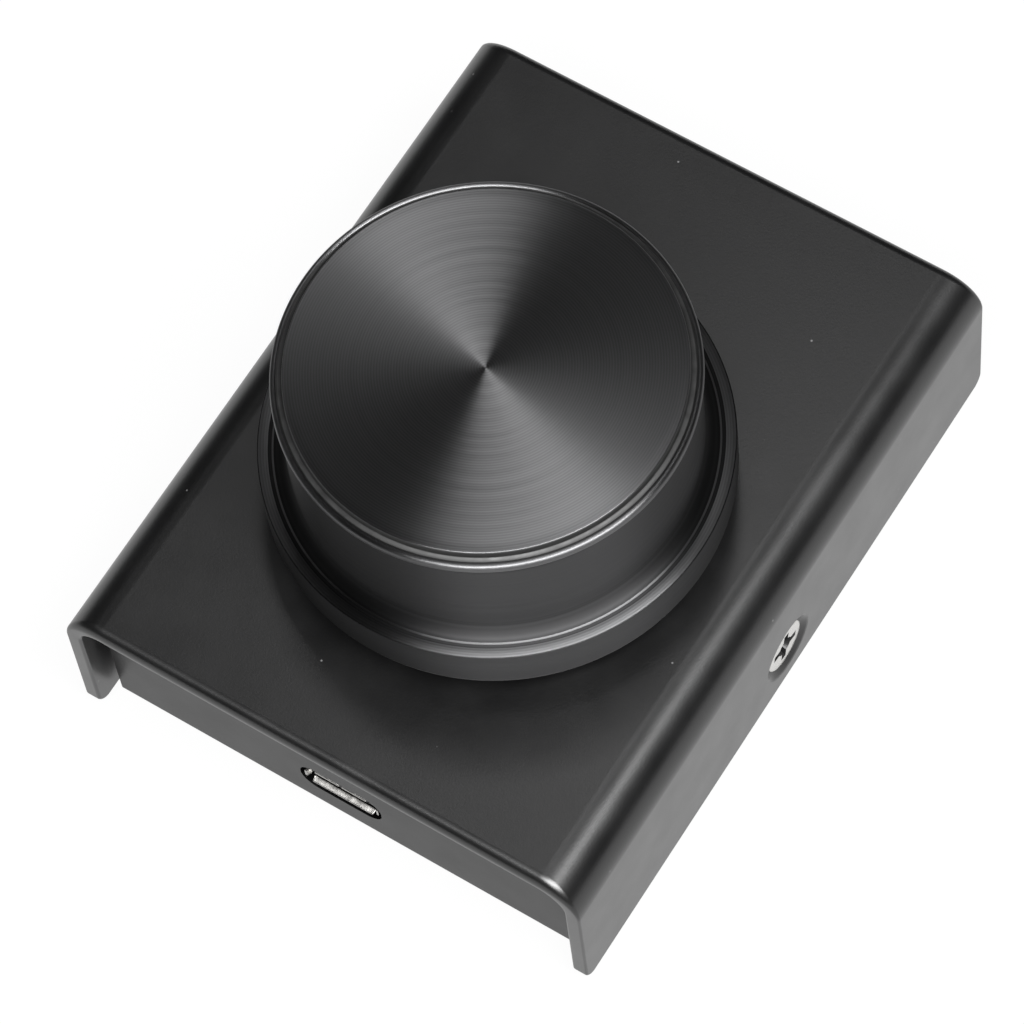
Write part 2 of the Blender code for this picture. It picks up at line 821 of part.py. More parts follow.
def knob_profile():
    """The knob's section: face, ledge, bead, wall, concave fillet, ring, tapered flange and recess."""
    top = KNOB_BOTTOM + KNOB_HEIGHT
    ledge = top - 0.00072
    bead_low = top - 0.00152
    ring = KNOB_BOTTOM + 0.0055
    wall = 0.0187
    fillet = 0.0017
    bore_top = KNOB_BOTTOM + 0.0142
    bore = 0.0053
    recess = 0.0080
    profile = [(0, top), (0.01775, top), (0.01788, top - 0.00012), (0.01795, ledge), (0.0184, ledge - 0.00005)]
    profile += arc((0.01865, ledge - 0.00035), 0.00035, 90, 0, 3)
    profile += [(0.0190, bead_low + 0.0001), (0.01895, bead_low), (wall, bead_low - 0.0001)]
    profile += arc((wall + fillet, ring - 0.0002 + fillet), fillet, 180, 270, 6)
    profile += [(0.0205, ring), (FLANGE_RADIUS - 0.0001, ring), (FLANGE_RADIUS, ring - 0.0001)]
    profile += [(FLANGE_RADIUS, KNOB_BOTTOM + 0.0009), (FLANGE_RADIUS - 0.0003, KNOB_BOTTOM)]
    profile += [(recess, KNOB_BOTTOM), (recess, KNOB_BOTTOM + KNOB_RECESS)]
    profile += [(bore, KNOB_BOTTOM + KNOB_RECESS), (bore, bore_top), (0, bore_top)]
    return profile


def knob():
    """The turned knob and the moulded insert that grips the shaft's flat."""
    shell = turned("knob_shell", knob_profile(), BLACK_ANODISED, (0, KNOB_Y, 0))
    low = KNOB_BOTTOM + KNOB_RECESS
    high = KNOB_BOTTOM + 0.0139
    insert = cone("knob_insert", (0, KNOB_Y, low), (0, KNOB_Y, high), 0.0050, 0.0050, BLACK_PLASTIC)
    clearance = 0.0001
    radius = SHAFT_RADIUS + clearance
    flat_y = 0.0015 + clearance
    reach = math.degrees(math.asin(flat_y / radius))
    seat = extruded(
        "insert_bore",
        [arc((0, 0), radius, 180 - reach, 360 + reach, 32)],
        0.016,
        "XY",
        (0, KNOB_Y, (low + high) / 2),
        None,
    )
    mouth = cone("insert_mouth", (0, KNOB_Y, low - 0.001), (0, KNOB_Y, low + 0.0018), radius, radius, None)
    cut(insert, [seat, mouth])
    return shell, insert


def build():
    """Make every piece and hang the moving ones on their axes."""
    cover()
    for side_name, sign in (("left", -1), ("right", 1)):
        side_screw(side_name, sign)
    tray()
    feet()
    standoffs_and_board_screws()
    circuit_board()
    usb_shell()
    usb_insulator()
    usb_contacts()
    chip()
    small_components()
    encoder_case()
    encoder_bushing()
    bushing_hardware()
    detent_spring()
    encoder_pins()
    turning_axis = axis_empty("turning_axis", (0, KNOB_Y, BOARD_TOP))
    carry(turning_axis, [encoder_rotor(), encoder_shaft(), *knob()])
    pressing_axis = axis_empty("switch_axis", (0, KNOB_Y, BOARD_TOP))
    carry(pressing_axis, [switch()])


build()
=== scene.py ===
"""The looks of the desktop volume control knob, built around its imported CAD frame.

Metres, +Z up, -Y towards the socket. Every position comes from the CAD nodes' own boxes.
"""

import math

import bmesh
import bpy
from mathutils import Matrix, Vector


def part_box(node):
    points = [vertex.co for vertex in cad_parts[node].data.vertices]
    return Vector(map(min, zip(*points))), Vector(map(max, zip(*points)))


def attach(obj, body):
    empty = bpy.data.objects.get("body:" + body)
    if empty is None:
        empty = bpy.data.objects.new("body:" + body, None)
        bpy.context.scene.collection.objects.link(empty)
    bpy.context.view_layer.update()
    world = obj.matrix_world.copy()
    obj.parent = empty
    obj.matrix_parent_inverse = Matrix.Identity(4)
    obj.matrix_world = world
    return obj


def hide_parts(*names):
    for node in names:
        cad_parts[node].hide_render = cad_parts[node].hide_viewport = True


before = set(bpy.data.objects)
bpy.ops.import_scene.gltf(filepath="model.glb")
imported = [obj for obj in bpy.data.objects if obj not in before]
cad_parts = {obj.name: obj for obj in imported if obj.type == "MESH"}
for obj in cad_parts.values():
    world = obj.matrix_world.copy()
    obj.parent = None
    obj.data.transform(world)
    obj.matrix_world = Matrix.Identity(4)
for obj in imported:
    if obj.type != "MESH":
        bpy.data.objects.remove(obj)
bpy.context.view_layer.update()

# Boxes of the CAD nodes that the finer pieces are built on
COVER_LOW, COVER_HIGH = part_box("cover")
TRAY_LOW, TRAY_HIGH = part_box("base_tray")
KNOB_LOW, KNOB_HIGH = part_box("knob_shell")
SOCKET_LOW, SOCKET_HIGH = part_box("usb_shell")
KNOB_AXIS = Vector(((KNOB_LOW.x + KNOB_HIGH.x) / 2, (KNOB_LOW.y + KNOB_HIGH.y) / 2, 0.0))

# Sizes that the boxes don't hold, equal or close to the CAD's
COVER_SHEET = 0.0016
COVER_BEND_RADIUS = 0.0043
LEG_CORNER_RADIUS = 0.0013
TRAY_SHEET = 0.0010
TRAY_BEND_RADIUS = 0.0011
TRAY_CORNER_RADIUS = 0.0032
TRAY_END_GAP = 0.00095
TAB_GAP = 0.0003
TAB_ROOT = 0.004
TAB_HEIGHT = 0.011
TAB_HALF_LENGTH = 0.011
TAB_HOLE_RADIUS = 0.0016
SLOT_WIDTH = 0.0088
SLOT_HEIGHT = 0.0039
SLOT_CORNER_RADIUS = 0.0018
SLOT_CENTRE_HEIGHT = 0.0057
SOCKET_Z = COVER_LOW.z + SLOT_CENTRE_HEIGHT
COUNTERSINK_RADIUS = 0.0035
SHANK_HOLE_RADIUS = 0.0018
BUSHING_HOLE_RADIUS = 0.00385
NUT_BORE_RADIUS = 0.0037

# Details that only the looks have: the cross recess, whose turn is in degrees, tool marks and roundings
RECESS_TURN = -11
GROOVE_PITCH = 0.00025
TOP_ARRIS = 0.0011
LEG_ARRIS = 0.00025
INNER_ARRIS = 0.00030
LEG_END_ARRIS = 0.00008
TRAY_ARRIS = 0.00012
RECESS_REACH = 0.00198
RECESS_DEPTH = 0.0014
PETAL_SHEET = 0.00028

# An edge is shaded sharp above the first angle, and counts as an arris above the second
SMOOTH_ANGLE = math.radians(38)
ARRIS_ANGLE = math.radians(40)

# How far a cutter reaches past what it cuts
OVER = 0.001

# Sockets of a colour Mix node, which share their names with those for numbers
MIX_FIRST = 6
MIX_SECOND = 7
MIX_RESULT = 2

# Height of the light panels above the knob's underside
PANEL_HEIGHT = 1.2


# ---------------------------------------------------------------- meshes


def add_object(name, shape):
    """Link a bmesh as an object with its faces pointing out."""
    bmesh.ops.recalc_face_normals(shape, faces=shape.faces)
    mesh = bpy.data.meshes.new(name)
    shape.to_mesh(mesh)
    shape.free()
    piece = bpy.data.objects.new(name, mesh)
    bpy.context.scene.collection.objects.link(piece)
    return piece


def smooth(piece):
    """Smooth shading that keeps edges and leaves flat faces flat."""
    piece.data.shade_smooth()
    piece.data.set_sharp_from_angle(angle=SMOOTH_ANGLE)
    normals = piece.modifiers.new("flat_faces", "WEIGHTED_NORMAL")
    normals.keep_sharp = True
    normals.weight = 80


def apply_modifiers(piece):
    """Make a piece's modifiers part of its mesh."""
    bpy.context.view_layer.update()
    depsgraph = bpy.context.evaluated_depsgraph_get()
    old = piece.data
    piece.data = bpy.data.meshes.new_from_object(piece.evaluated_get(depsgraph))
    piece.modifiers.clear()
    bpy.data.meshes.remove(old)


def boolean(piece, others, operation):
    """Apply a Boolean with each other object, and remove those."""
    for other in others:
        modifier = piece.modifiers.new(other.name, "BOOLEAN")
        modifier.operation = operation
        modifier.object = other
        modifier.solver = "EXACT"
    apply_modifiers(piece)
    for other in others:
        bpy.data.objects.remove(other, do_unlink=True)


def arc(centre, radius, start, end, steps):
    """Points along an arc, angles in degrees."""
    points = []
    for step in range(steps + 1):
        angle = math.radians(start + (end - start) * step / steps)
        points.append((centre[0] + radius * math.cos(angle), centre[1] + radius * math.sin(angle)))
    return points


def rounded_rectangle(width, height, radius, steps=10):
    """An outline centred on zero with round corners."""
    x = width / 2 - radius
    y = height / 2 - radius
    outline = []
    for corner_x, corner_y, start in ((x, y, 0), (-x, y, 90), (-x, -y, 180), (x, -y, 270)):
        outline += arc((corner_x, corner_y), radius, start, start + 90, steps)
    return outline


def turned(name, profile, centre, segments=192, closed=False):
    """A turned shape about a vertical axis, from (radius, height) points."""
    shape = bmesh.new()
    rings = []
    for radius, height in profile:
        if radius == 0:
            rings.append([shape.verts.new((0.0, 0.0, height))] * segments)
            continue
        ring = []
        for index in range(segments):
            angle = 2 * math.pi * index / segments
            ring.append(shape.verts.new((radius * math.cos(angle), radius * math.sin(angle), height)))
        rings.append(ring)
    pairs = list(zip(rings, rings[1:]))
    if closed:
        pairs.append((rings[-1], rings[0]))
    for upper, lower in pairs:
        for index in range(segments):
            follow = (index + 1) % segments
            corners = [upper[index], upper[follow], lower[follow], lower[index]]
            shape.faces.new(list(dict.fromkeys(corners)))
    piece = add_object(name, shape)
    piece.location = centre
    return piece


def prism(name, outline, axis, low, high):
    """An outline carried along an axis. Its points are the other two coordinates, in X, Y, Z order."""
    shape = bmesh.new()
    ends = []
    for along in (low, high):
        verts = []
        for u, v in outline:
            point = {"X": (along, u, v), "Y": (u, along, v), "Z": (u, v, along)}[axis]
            verts.append(shape.verts.new(point))
        ends.append(verts)
        shape.faces.new(verts)
    for index in range(len(outline)):
        follow = (index + 1) % len(outline)
        shape.faces.new((ends[0][index], ends[0][follow], ends[1][follow], ends[1][index]))
    return add_object(name, shape)


def round_edges(piece, width, segments, wanted):
    """Bevel the edges that a test picks out."""
    shape = bmesh.new()
    shape.from_mesh(piece.data)
    edges = [edge for edge in shape.edges if wanted(edge)]
    bmesh.ops.bevel(
        shape,
        geom=edges,
        offset=width,
        offset_type="OFFSET",
        segments=segments,
        profile=0.5,
        affect="EDGES",
        clamp_overlap=True,
    )
    shape.to_mesh(piece.data)
    shape.free()


def is_sharp(edge):
    """Whether an edge turns more than a bend's own facets do."""
    return edge.is_manifold and edge.calc_face_angle(0.0) > ARRIS_ANGLE


# ---------------------------------------------------------------- materials


class Nodes:
    """A short way to write a material's node tree."""

    def __init__(self, material):
        self.tree = material.node_tree
        self.shader = self.tree.nodes["Principled BSDF"]

    def add(self, kind, **settings):
        """Add a node and set its properties."""
        node = self.tree.nodes.new(kind)
        for key, value in settings.items():
            setattr(node, key, value)
        return node

    def link(self, source, target):
        """Join an output to an input."""
        self.tree.links.new(source, target)

    def math(self, operation, first, second=0.0):
        """A Math node on an output or a number."""
        node = self.add("ShaderNodeMath", operation=operation)
        for socket, value in zip(node.inputs, (first, second)):
            if isinstance(value, (int, float)):
                socket.default_value = value
            else:
                self.link(value, socket)
        return node.outputs["Value"]

    def ramp(self, value, low, high, first, second):
        """Map a value's range to another range."""
        node = self.add("ShaderNodeMapRange")
        self.link(value, node.inputs["Value"])
        node.inputs["From Min"].default_value = low
        node.inputs["From Max"].default_value = high
        node.inputs["To Min"].default_value = first
        node.inputs["To Max"].default_value = second
        return node.outputs["Result"]

    def noise(self, scale, detail=2.0, vector=None):
        """A Noise texture on object coordinates, or on a given vector."""
        node = self.add("ShaderNodeTexNoise")
        node.inputs["Scale"].default_value = scale
        node.inputs["Detail"].default_value = detail
        self.link(vector or self.position(), node.inputs["Vector"])
        return node.outputs["Fac"]

    def position(self):
        """The object coordinates, in metres."""
        return self.add("ShaderNodeTexCoord").outputs["Object"]

    def colour(self, factor, first, second):
        """Blend two colours by a factor and use the result as the base colour."""
        node = self.add("ShaderNodeMix", data_type="RGBA")
        self.link(factor, node.inputs["Factor"])
        node.inputs[MIX_FIRST].default_value = (*first, 1.0)
        node.inputs[MIX_SECOND].default_value = (*second, 1.0)
        self.link(node.outputs[MIX_RESULT], self.shader.inputs["Base Color"])

    def roughness(self, value):
        """Use a value as the roughness."""
        self.link(value, self.shader.inputs["Roughness"])

    def bump(self, height, distance):
        """Use a height, as a share of a distance in metres, as bump."""
        node = self.add("ShaderNodeBump")
        node.inputs["Strength"].default_value = 1.0
        node.inputs["Distance"].default_value = distance
        self.link(height, node.inputs["Height"])
        self.link(node.outputs["Normal"], self.shader.inputs["Normal"])


def new_material(name, metallic=0.0, **sockets):
    """A Principled material, with constants set on its sockets by name."""
    material = bpy.data.materials.new(name)
    material.use_nodes = True
    nodes = Nodes(material)
    nodes.shader.inputs["Metallic"].default_value = metallic
    for key, value in sockets.items():
        nodes.shader.inputs[key.replace("_", " ")].default_value = value
    return material, nodes


def grey(level):
    """A neutral colour."""
    return (level, level, level)


def coat_material(name, index):
    """Satin black powder coat with a given refractive index: orange peel, faint mottling, dust specks."""
    material, nodes = new_material(name, IOR=index)
    mottling = nodes.noise(220.0, 3.0)
    cells = nodes.add("ShaderNodeTexVoronoi")
    cells.inputs["Scale"].default_value = 250.0
    nodes.link(nodes.position(), cells.inputs["Vector"])
    dust = nodes.ramp(cells.outputs["Distance"], 0.020, 0.032, 1.0, 0.0)
    faint = nodes.math("MULTIPLY", mottling, 0.01)
    specks = nodes.math("MULTIPLY", dust, 0.95)
    shade = nodes.math("ADD", faint, specks)
    nodes.colour(shade, (0.0008, 0.0008, 0.0009), grey(0.10))
    nodes.roughness(nodes.ramp(mottling, 0.3, 0.7, 0.30, 0.34))
    nodes.bump(nodes.noise(5200.0), 0.000006)
    return material


def knob_material(name, dark, light, smoothest, roughest):
    """Black anodised turned aluminium: tool marks run round Z and stretch highlights across them."""
    material, nodes = new_material(name, metallic=1.0, Anisotropic=0.95, Anisotropic_Rotation=0.25)
    tangent = nodes.add("ShaderNodeTangent", direction_type="RADIAL", axis="Z")
    nodes.link(tangent.outputs["Tangent"], nodes.shader.inputs["Tangent"])
    place = nodes.add("ShaderNodeSeparateXYZ")
    nodes.link(nodes.position(), place.inputs["Vector"])
    across = nodes.math("POWER", place.outputs["X"], 2.0)
    along = nodes.math("POWER", place.outputs["Y"], 2.0)
    radius = nodes.math("SQRT", nodes.math("ADD", across, along))
    travel = nodes.math("ADD", radius, place.outputs["Z"])
    section = nodes.add("ShaderNodeCombineXYZ")
    nodes.link(radius, section.inputs["X"])
    nodes.link(place.outputs["Z"], section.inputs["Y"])
    uneven = nodes.noise(1500.0, 2.0, section.outputs["Vector"])
    phase = nodes.math("ADD", nodes.math("MULTIPLY", travel, 2 * math.pi / GROOVE_PITCH), uneven)
    groove = nodes.ramp(nodes.math("SINE", phase), -1.0, 1.0, 0.0, 1.0)
    regular = nodes.math("MULTIPLY", groove, 0.6)
    irregular = nodes.math("MULTIPLY", uneven, 0.4)
    marks = nodes.math("ADD", regular, irregular)
    blue = 1.02
    nodes.colour(marks, (dark, dark, blue * dark), (light, light, blue * light))
    nodes.roughness(nodes.ramp(uneven, 0.3, 0.7, smoothest, roughest))
    nodes.bump(groove, 0.0000012)
    return material


def metal_material(name, dark, light, smoothest, roughest, scale):
    """A plain metal with a fine grain and a slightly uneven tone."""
    material, nodes = new_material(name, metallic=1.0)
    tone = nodes.noise(scale, 4.0)
    nodes.colour(tone, dark, light)
    nodes.roughness(nodes.ramp(tone, 0.3, 0.7, smoothest, roughest))
    nodes.bump(nodes.noise(scale * 6, 2.0), 0.000006)
    return material


def matte_material(name, dark, light, smoothest, roughest, scale, grain):
    """A moulded or fired surface with a fine grain of a given depth."""
    material, nodes = new_material(name)
    tone = nodes.noise(scale, 3.0)
    nodes.colour(tone, dark, light)
    nodes.roughness(nodes.ramp(tone, 0.3, 0.7, smoothest, roughest))
    nodes.bump(nodes.noise(scale * 5, 2.0), grain)
    return material


def board_material():
    """Green solder mask over copper tracks, which show as slightly lighter and raised lines."""
    material, nodes = new_material("solder_mask")
    place = nodes.add("ShaderNodeSeparateXYZ")
    nodes.link(nodes.position(), place.inputs["Vector"])
    cells = nodes.add("ShaderNodeTexVoronoi", distance="MANHATTAN", feature="DISTANCE_TO_EDGE")
    cells.inputs["Scale"].default_value = 420.0
    nodes.link(nodes.position(), cells.inputs["Vector"])
    tracks = nodes.ramp(cells.outputs["Distance"], 0.08, 0.12, 1.0, 0.0)
    nodes.colour(tracks, (0.010, 0.085, 0.035), (0.022, 0.160, 0.070))
    nodes.roughness(nodes.ramp(nodes.noise(800.0), 0.3, 0.7, 0.28, 0.38))
    nodes.bump(tracks, 0.00003)
    return material


COAT = coat_material("cover_coat", 1.66)
# Painted shade: the tray has the same coat as the cover, given a lower refractive index so it reflects
# less, for the shade on the floor that its walls reflect
TRAY_COAT_SHADED = coat_material("tray_coat_painted_shade", 1.25)
KNOB = knob_material("turned_face", 0.085, 0.125, 0.28, 0.31)
KNOB_SIDE = knob_material("turned_side", 0.026, 0.038, 0.44, 0.50)
MASK = board_material()

# Metals: dark tone, light tone, smoothest, roughest, grain's scale
NICKEL = metal_material("nickel", (0.46, 0.455, 0.44), (0.68, 0.67, 0.65), 0.16, 0.26, 700.0)
STEEL = metal_material("steel", (0.42, 0.42, 0.43), (0.60, 0.60, 0.61), 0.28, 0.42, 500.0)
PLATE = metal_material("socket_plate", (0.20, 0.196, 0.19), (0.56, 0.55, 0.53), 0.26, 0.40, 1800.0)
# Painted shade: the socket shell is nickel all through, and its inside is made dark grey for the shade
# within it
SHADED = metal_material("socket_inside_painted_shade", grey(0.05), grey(0.10), 0.30, 0.45, 1800.0)
GOLD = metal_material("gold_contact", (0.80, 0.58, 0.22), (0.95, 0.74, 0.34), 0.18, 0.28, 1500.0)

# Other surfaces: the same, then the grain's depth in metres
# Painted shade: a near-black matte for the screws' cross recesses, which are nickel like the rest of each
# screw and dark only from shade
RECESS_SHADE = matte_material("painted_shade_recess", grey(0.004), grey(0.010), 0.35, 0.50, 900.0, 0.00001)
# Painted shade: a near-black matte for the knob's narrow channel, which is anodised aluminium like the
# face and dark only from shade
CHANNEL_SHADE = matte_material("painted_shade_channel", grey(0.004), grey(0.009), 0.40, 0.55, 900.0, 0.000004)
RUBBER = matte_material("foot_rubber", grey(0.014), grey(0.030), 0.75, 0.90, 900.0, 0.00002)
BLACK_DARK = (0.016, 0.016, 0.017)
BLACK_LIGHT = (0.030, 0.030, 0.031)
PLASTIC = matte_material("black_moulding", BLACK_DARK, BLACK_LIGHT, 0.42, 0.55, 600.0, 0.00001)
TAN_DARK = (0.42, 0.30, 0.18)
TAN_LIGHT = (0.60, 0.46, 0.30)
CERAMIC = matte_material("capacitor_body", TAN_DARK, TAN_LIGHT, 0.45, 0.60, 2500.0, 0.00001)


def finish_piece(piece, body, material, slot, *nodes):
    """Give a finished piece its material and its body, and hide the CAD nodes it stands for. The record
    slot is not used.
    """
    piece.data.materials.clear()
    piece.data.materials.append(material)
    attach(piece, body)
    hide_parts(*nodes)


# ---------------------------------------------------------------- case


def leg_heights():
    """Heights up a leg's end, closer together where its corner and its arris turn fastest."""
    heights = set()
    for radius, steps in ((LEG_END_ARRIS, 3), (LEG_CORNER_RADIUS, 10)):
        for step in range(steps + 1):
            heights.add(round(radius * (1 - math.cos(math.radians(90 * step / steps))), 6))
    return sorted(heights)


def quarter_inset(radius, height):
    """How far a quarter round of a radius stands back at a height above its start."""
    if height >= radius:
        return 0.0
    return radius - math.sqrt(radius**2 - (radius - height) ** 2)


def cover_half():
    """Places from a leg's end to the top: outer point, way in, arris radius and the two insets.

    The insets are those along the sheet's edge and through its thickness.
    """
    half = COVER_HIGH.x
    centre_x = half - COVER_BEND_RADIUS
    centre_z = COVER_HIGH.z - COVER_BEND_RADIUS
    places = []
    for height in leg_heights():
        insets = (quarter_inset(LEG_CORNER_RADIUS, height), quarter_inset(LEG_END_ARRIS, height))
        places.append(((half, COVER_LOW.z + height), (-1.0, 0.0), LEG_ARRIS, insets))
    steps = 24
    for step in range(steps + 1):
        share = step / steps
        angle = math.radians(90 * share)
        way = (-math.cos(angle), -math.sin(angle))
        outer = (centre_x - COVER_BEND_RADIUS * way[0], centre_z - COVER_BEND_RADIUS * way[1])
        blend = share * share * (3 - 2 * share)
        places.append((outer, way, LEG_ARRIS + (TOP_ARRIS - LEG_ARRIS) * blend, (0.0, 0.0)))
    return places


def sheet_section(inset, thinning, outer_radius):
    """The sheet's section along Y: (y, depth) points round a strip with rounded corners."""
    front = COVER_LOW.y + inset
    back = COVER_HIGH.y - inset
    near = thinning
    far = COVER_SHEET - thinning
    points = arc((front + outer_radius, near + outer_radius), outer_radius, 270, 180, 9)
    points += arc((front + INNER_ARRIS, far - INNER_ARRIS), INNER_ARRIS, 180, 90, 5)
    points += arc((back - INNER_ARRIS, far - INNER_ARRIS), INNER_ARRIS, 90, 0, 5)
    points += arc((back - outer_radius, near + outer_radius), outer_radius, 0, -90, 9)
    return points


def cover_ring(shape, place):
    """The points of the sheet's section at one place round the U."""
    outer, way, radius, (inset, thinning) = place
    ring = []
    for y, depth in sheet_section(inset, thinning, radius):
        ring.append(shape.verts.new((outer[0] + way[0] * depth, y, outer[1] + way[1] * depth)))
    return ring


def cover():
    """The folded cover: its section carried round the U, then countersunk seats and the bushing's hole."""
    places = cover_half()
    mirrored = []
    for outer, way, radius, insets in reversed(places):
        mirrored.append(((-outer[0], outer[1]), (-way[0], way[1]), radius, insets))
    shape = bmesh.new()
    rings = [cover_ring(shape, place) for place in places + mirrored]
    for first, second in zip(rings, rings[1:]):
        for index in range(len(first)):
            follow = (index + 1) % len(first)
            shape.faces.new((first[index], first[follow], second[follow], second[index]))
    shape.faces.new(rings[0])
    shape.faces.new(rings[-1])
    piece = add_object("folded_cover", shape)
    cutters = [bushing_cutter()]
    cutters += [countersink_cutter(side) for side in ("left", "right")]
    boolean(piece, cutters, "DIFFERENCE")
    smooth(piece)
    finish_piece(piece, "case", COAT, "black_coated_steel", "cover")


def bushing_cutter():
    """A turned cutter through the cover's top, with a small chamfer at its upper edge."""
    top = COVER_HIGH.z
    radius = BUSHING_HOLE_RADIUS
    chamfer = 0.0002
    depth = 0.004
    profile = [
        (0, top + OVER),
        (radius + OVER + chamfer, top + OVER),
        (radius, top - chamfer),
        (radius, top - depth),
        (0, top - depth),
    ]
    return turned("bushing_hole", profile, KNOB_AXIS, 96)


def screw_centre(side):
    """Where a side screw's axis meets its head's outer plane, and which way the head faces."""
    low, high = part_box(f"side_screw_{side}")
    sign = 1 if side == "right" else -1
    outer = high.x if side == "right" else low.x
    return Vector((outer, (low.y + high.y) / 2, (low.z + high.z) / 2)), sign


def face_sideways(piece, centre, sign):
    """Turn a piece made about +Z so that its top faces outwards, and put it in place."""
    turn = Matrix.Rotation(sign * math.pi / 2, 4, "Y")
    piece.data.transform(Matrix.Translation(centre) @ turn)
    piece.location = (0.0, 0.0, 0.0)


def countersink_cutter(side):
    """The seat and clearance hole of one side screw."""
    centre, sign = screw_centre(side)
    centre.x = sign * COVER_HIGH.x
    over = 0.0006
    edge = 0.00012
    depth = 0.004
    profile = [
        (0, over),
        (COUNTERSINK_RADIUS + edge + over, over),
        (COUNTERSINK_RADIUS + edge, 0.0),
        (COUNTERSINK_RADIUS - edge, -0.0001),
        (SHANK_HOLE_RADIUS, -COUNTERSINK_RADIUS + SHANK_HOLE_RADIUS),
        (SHANK_HOLE_RADIUS, -depth),
        (0, -depth),
    ]
    piece = turned(f"countersink_{side}", profile, (0, 0, 0), 96)
    face_sideways(piece, centre, sign)
    return piece


def recess_blade(narrow, wide, top):
    """A tapered blade whose thin and broad ways are given as axis letters."""
    depth = 0.0012
    shape = bmesh.new()
    bmesh.ops.create_cube(shape, size=1.0)
    for vert in shape.verts:
        upper = vert.co.z > 0
        half_thin = 0.00040 if upper else 0.00026
        half_broad = RECESS_REACH if upper else 0.00120
        setattr(vert.co, narrow, math.copysign(half_thin, getattr(vert.co, narrow)))
        setattr(vert.co, wide, math.copysign(half_broad, getattr(vert.co, wide)))
        vert.co.z = top if upper else top - depth
    return add_object(f"blade_{narrow}", shape)


def cross_recess():
    """The cutters for a cross recess about +Z: two blades and a cone, with tops at different heights."""
    top = 0.00016
    profile = [(0, top), (0.00112, top), (0.00055, -0.00115), (0, -RECESS_DEPTH)]
    cone = turned("recess_cone", profile, (0, 0, 0), 33)
    return [recess_blade("x", "y", 0.00010), recess_blade("y", "x", 0.00013), cone]


def screw_profile(head, length):
    """A countersunk screw with a slightly dished face, from its axis outwards and down."""
    shank = 0.00145
    rim = 0.00010
    edge = 0.0002
    end = 0.0003
    return [
        (0, -0.00006),
        (head * 0.78, -0.00004),
        (head - 2 * rim, 0.0),
        (head - rim, -0.00002),
        (head, -rim),
        (head, -edge),
        (shank, -edge - head + shank),
        (shank, -length + end),
        (shank - end, -length),
        (0, -length),
    ]


def side_screw(side):
    """A countersunk screw with a cross recess, whose walls take a near-black material: painted shade for
    the shade inside the recess.
    """
    centre, sign = screw_centre(side)
    low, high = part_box(f"side_screw_{side}")
    profile = screw_profile((high.z - low.z) / 2, high.x - low.x)
    piece = turned(f"screw_{side}", profile, (0, 0, 0), 96)
    for cutter in cross_recess():
        cutter.data.transform(Matrix.Rotation(math.radians(RECESS_TURN), 4, "Z"))
        boolean(piece, [cutter], "DIFFERENCE")
    in_recess = []
    for face in piece.data.polygons:
        away = math.hypot(face.center.x, face.center.y)
        in_recess.append(-RECESS_DEPTH < face.center.z < -0.00008 and away < RECESS_REACH + 0.00001)
    face_sideways(piece, centre, sign)
    smooth(piece)
    finish_piece(piece, "case", NICKEL, "nickel_plate", f"side_screw_{side}")
    # The recess walls take the near-black painted shade material
    piece.data.materials.append(RECESS_SHADE)
    for face, inside in zip(piece.data.polygons, in_recess):
        face.material_index = 1 if inside else 0


def tray_outline():
    """The tray's section: (y, z) points from the back wall's top along the inside, then back outside."""
    outer = TRAY_HIGH.y
    inner = outer - TRAY_SHEET
    top = TRAY_HIGH.z
    centre_y = outer - TRAY_BEND_RADIUS
    centre_z = TRAY_LOW.z + TRAY_BEND_RADIUS
    inner_bend = TRAY_BEND_RADIUS - TRAY_SHEET
    outline = [(outer, top), (inner, top)]
    outline += arc((centre_y, centre_z), inner_bend, 0, -90, 4)
    outline += arc((-centre_y, centre_z), inner_bend, 270, 180, 4)
    outline += [(-inner, top), (-outer, top)]
    outline += arc((-centre_y, centre_z), TRAY_BEND_RADIUS, 180, 270, 14)
    outline += arc((centre_y, centre_z), TRAY_BEND_RADIUS, 270, 360, 14)
    return outline


def is_wall_corner(edge):
    """Whether an edge runs through the sheet at an upper corner of the tray's front or back wall."""
    near_top = 0.0001
    shortest, longest = 0.0001, 0.002
    middle = (edge.verts[0].co + edge.verts[1].co) / 2
    along = abs(edge.verts[0].co.y - edge.verts[1].co.y)
    return middle.z > TRAY_HIGH.z - near_top and shortest < along < longest


def tray():
    """The folded tray with its slot, side tabs and rounded arrises."""
    wall_half = COVER_HIGH.x - COVER_SHEET - TRAY_END_GAP
    piece = prism("folded_tray", tray_outline(), "X", -wall_half, wall_half)
    round_edges(piece, TRAY_CORNER_RADIUS, 10, is_wall_corner)
    round_edges(piece, TRAY_ARRIS, 2, is_sharp)
    boolean(piece, [side_tab(-1), side_tab(1)], "UNION")
    outer = TRAY_HIGH.y
    inner = outer - TRAY_SHEET
    opening = rounded_rectangle(SLOT_WIDTH, SLOT_HEIGHT, SLOT_CORNER_RADIUS)
    slot = prism("slot_cutter", opening, "Y", -outer - OVER, -inner + OVER)
    slot.data.transform(Matrix.Translation((0, 0, SOCKET_Z)))
    boolean(piece, [slot], "DIFFERENCE")
    smooth(piece)
    # The tray takes the less reflective copy of the coat: painted shade
    finish_piece(piece, "case", TRAY_COAT_SHADED, "black_coated_steel", "base_tray")


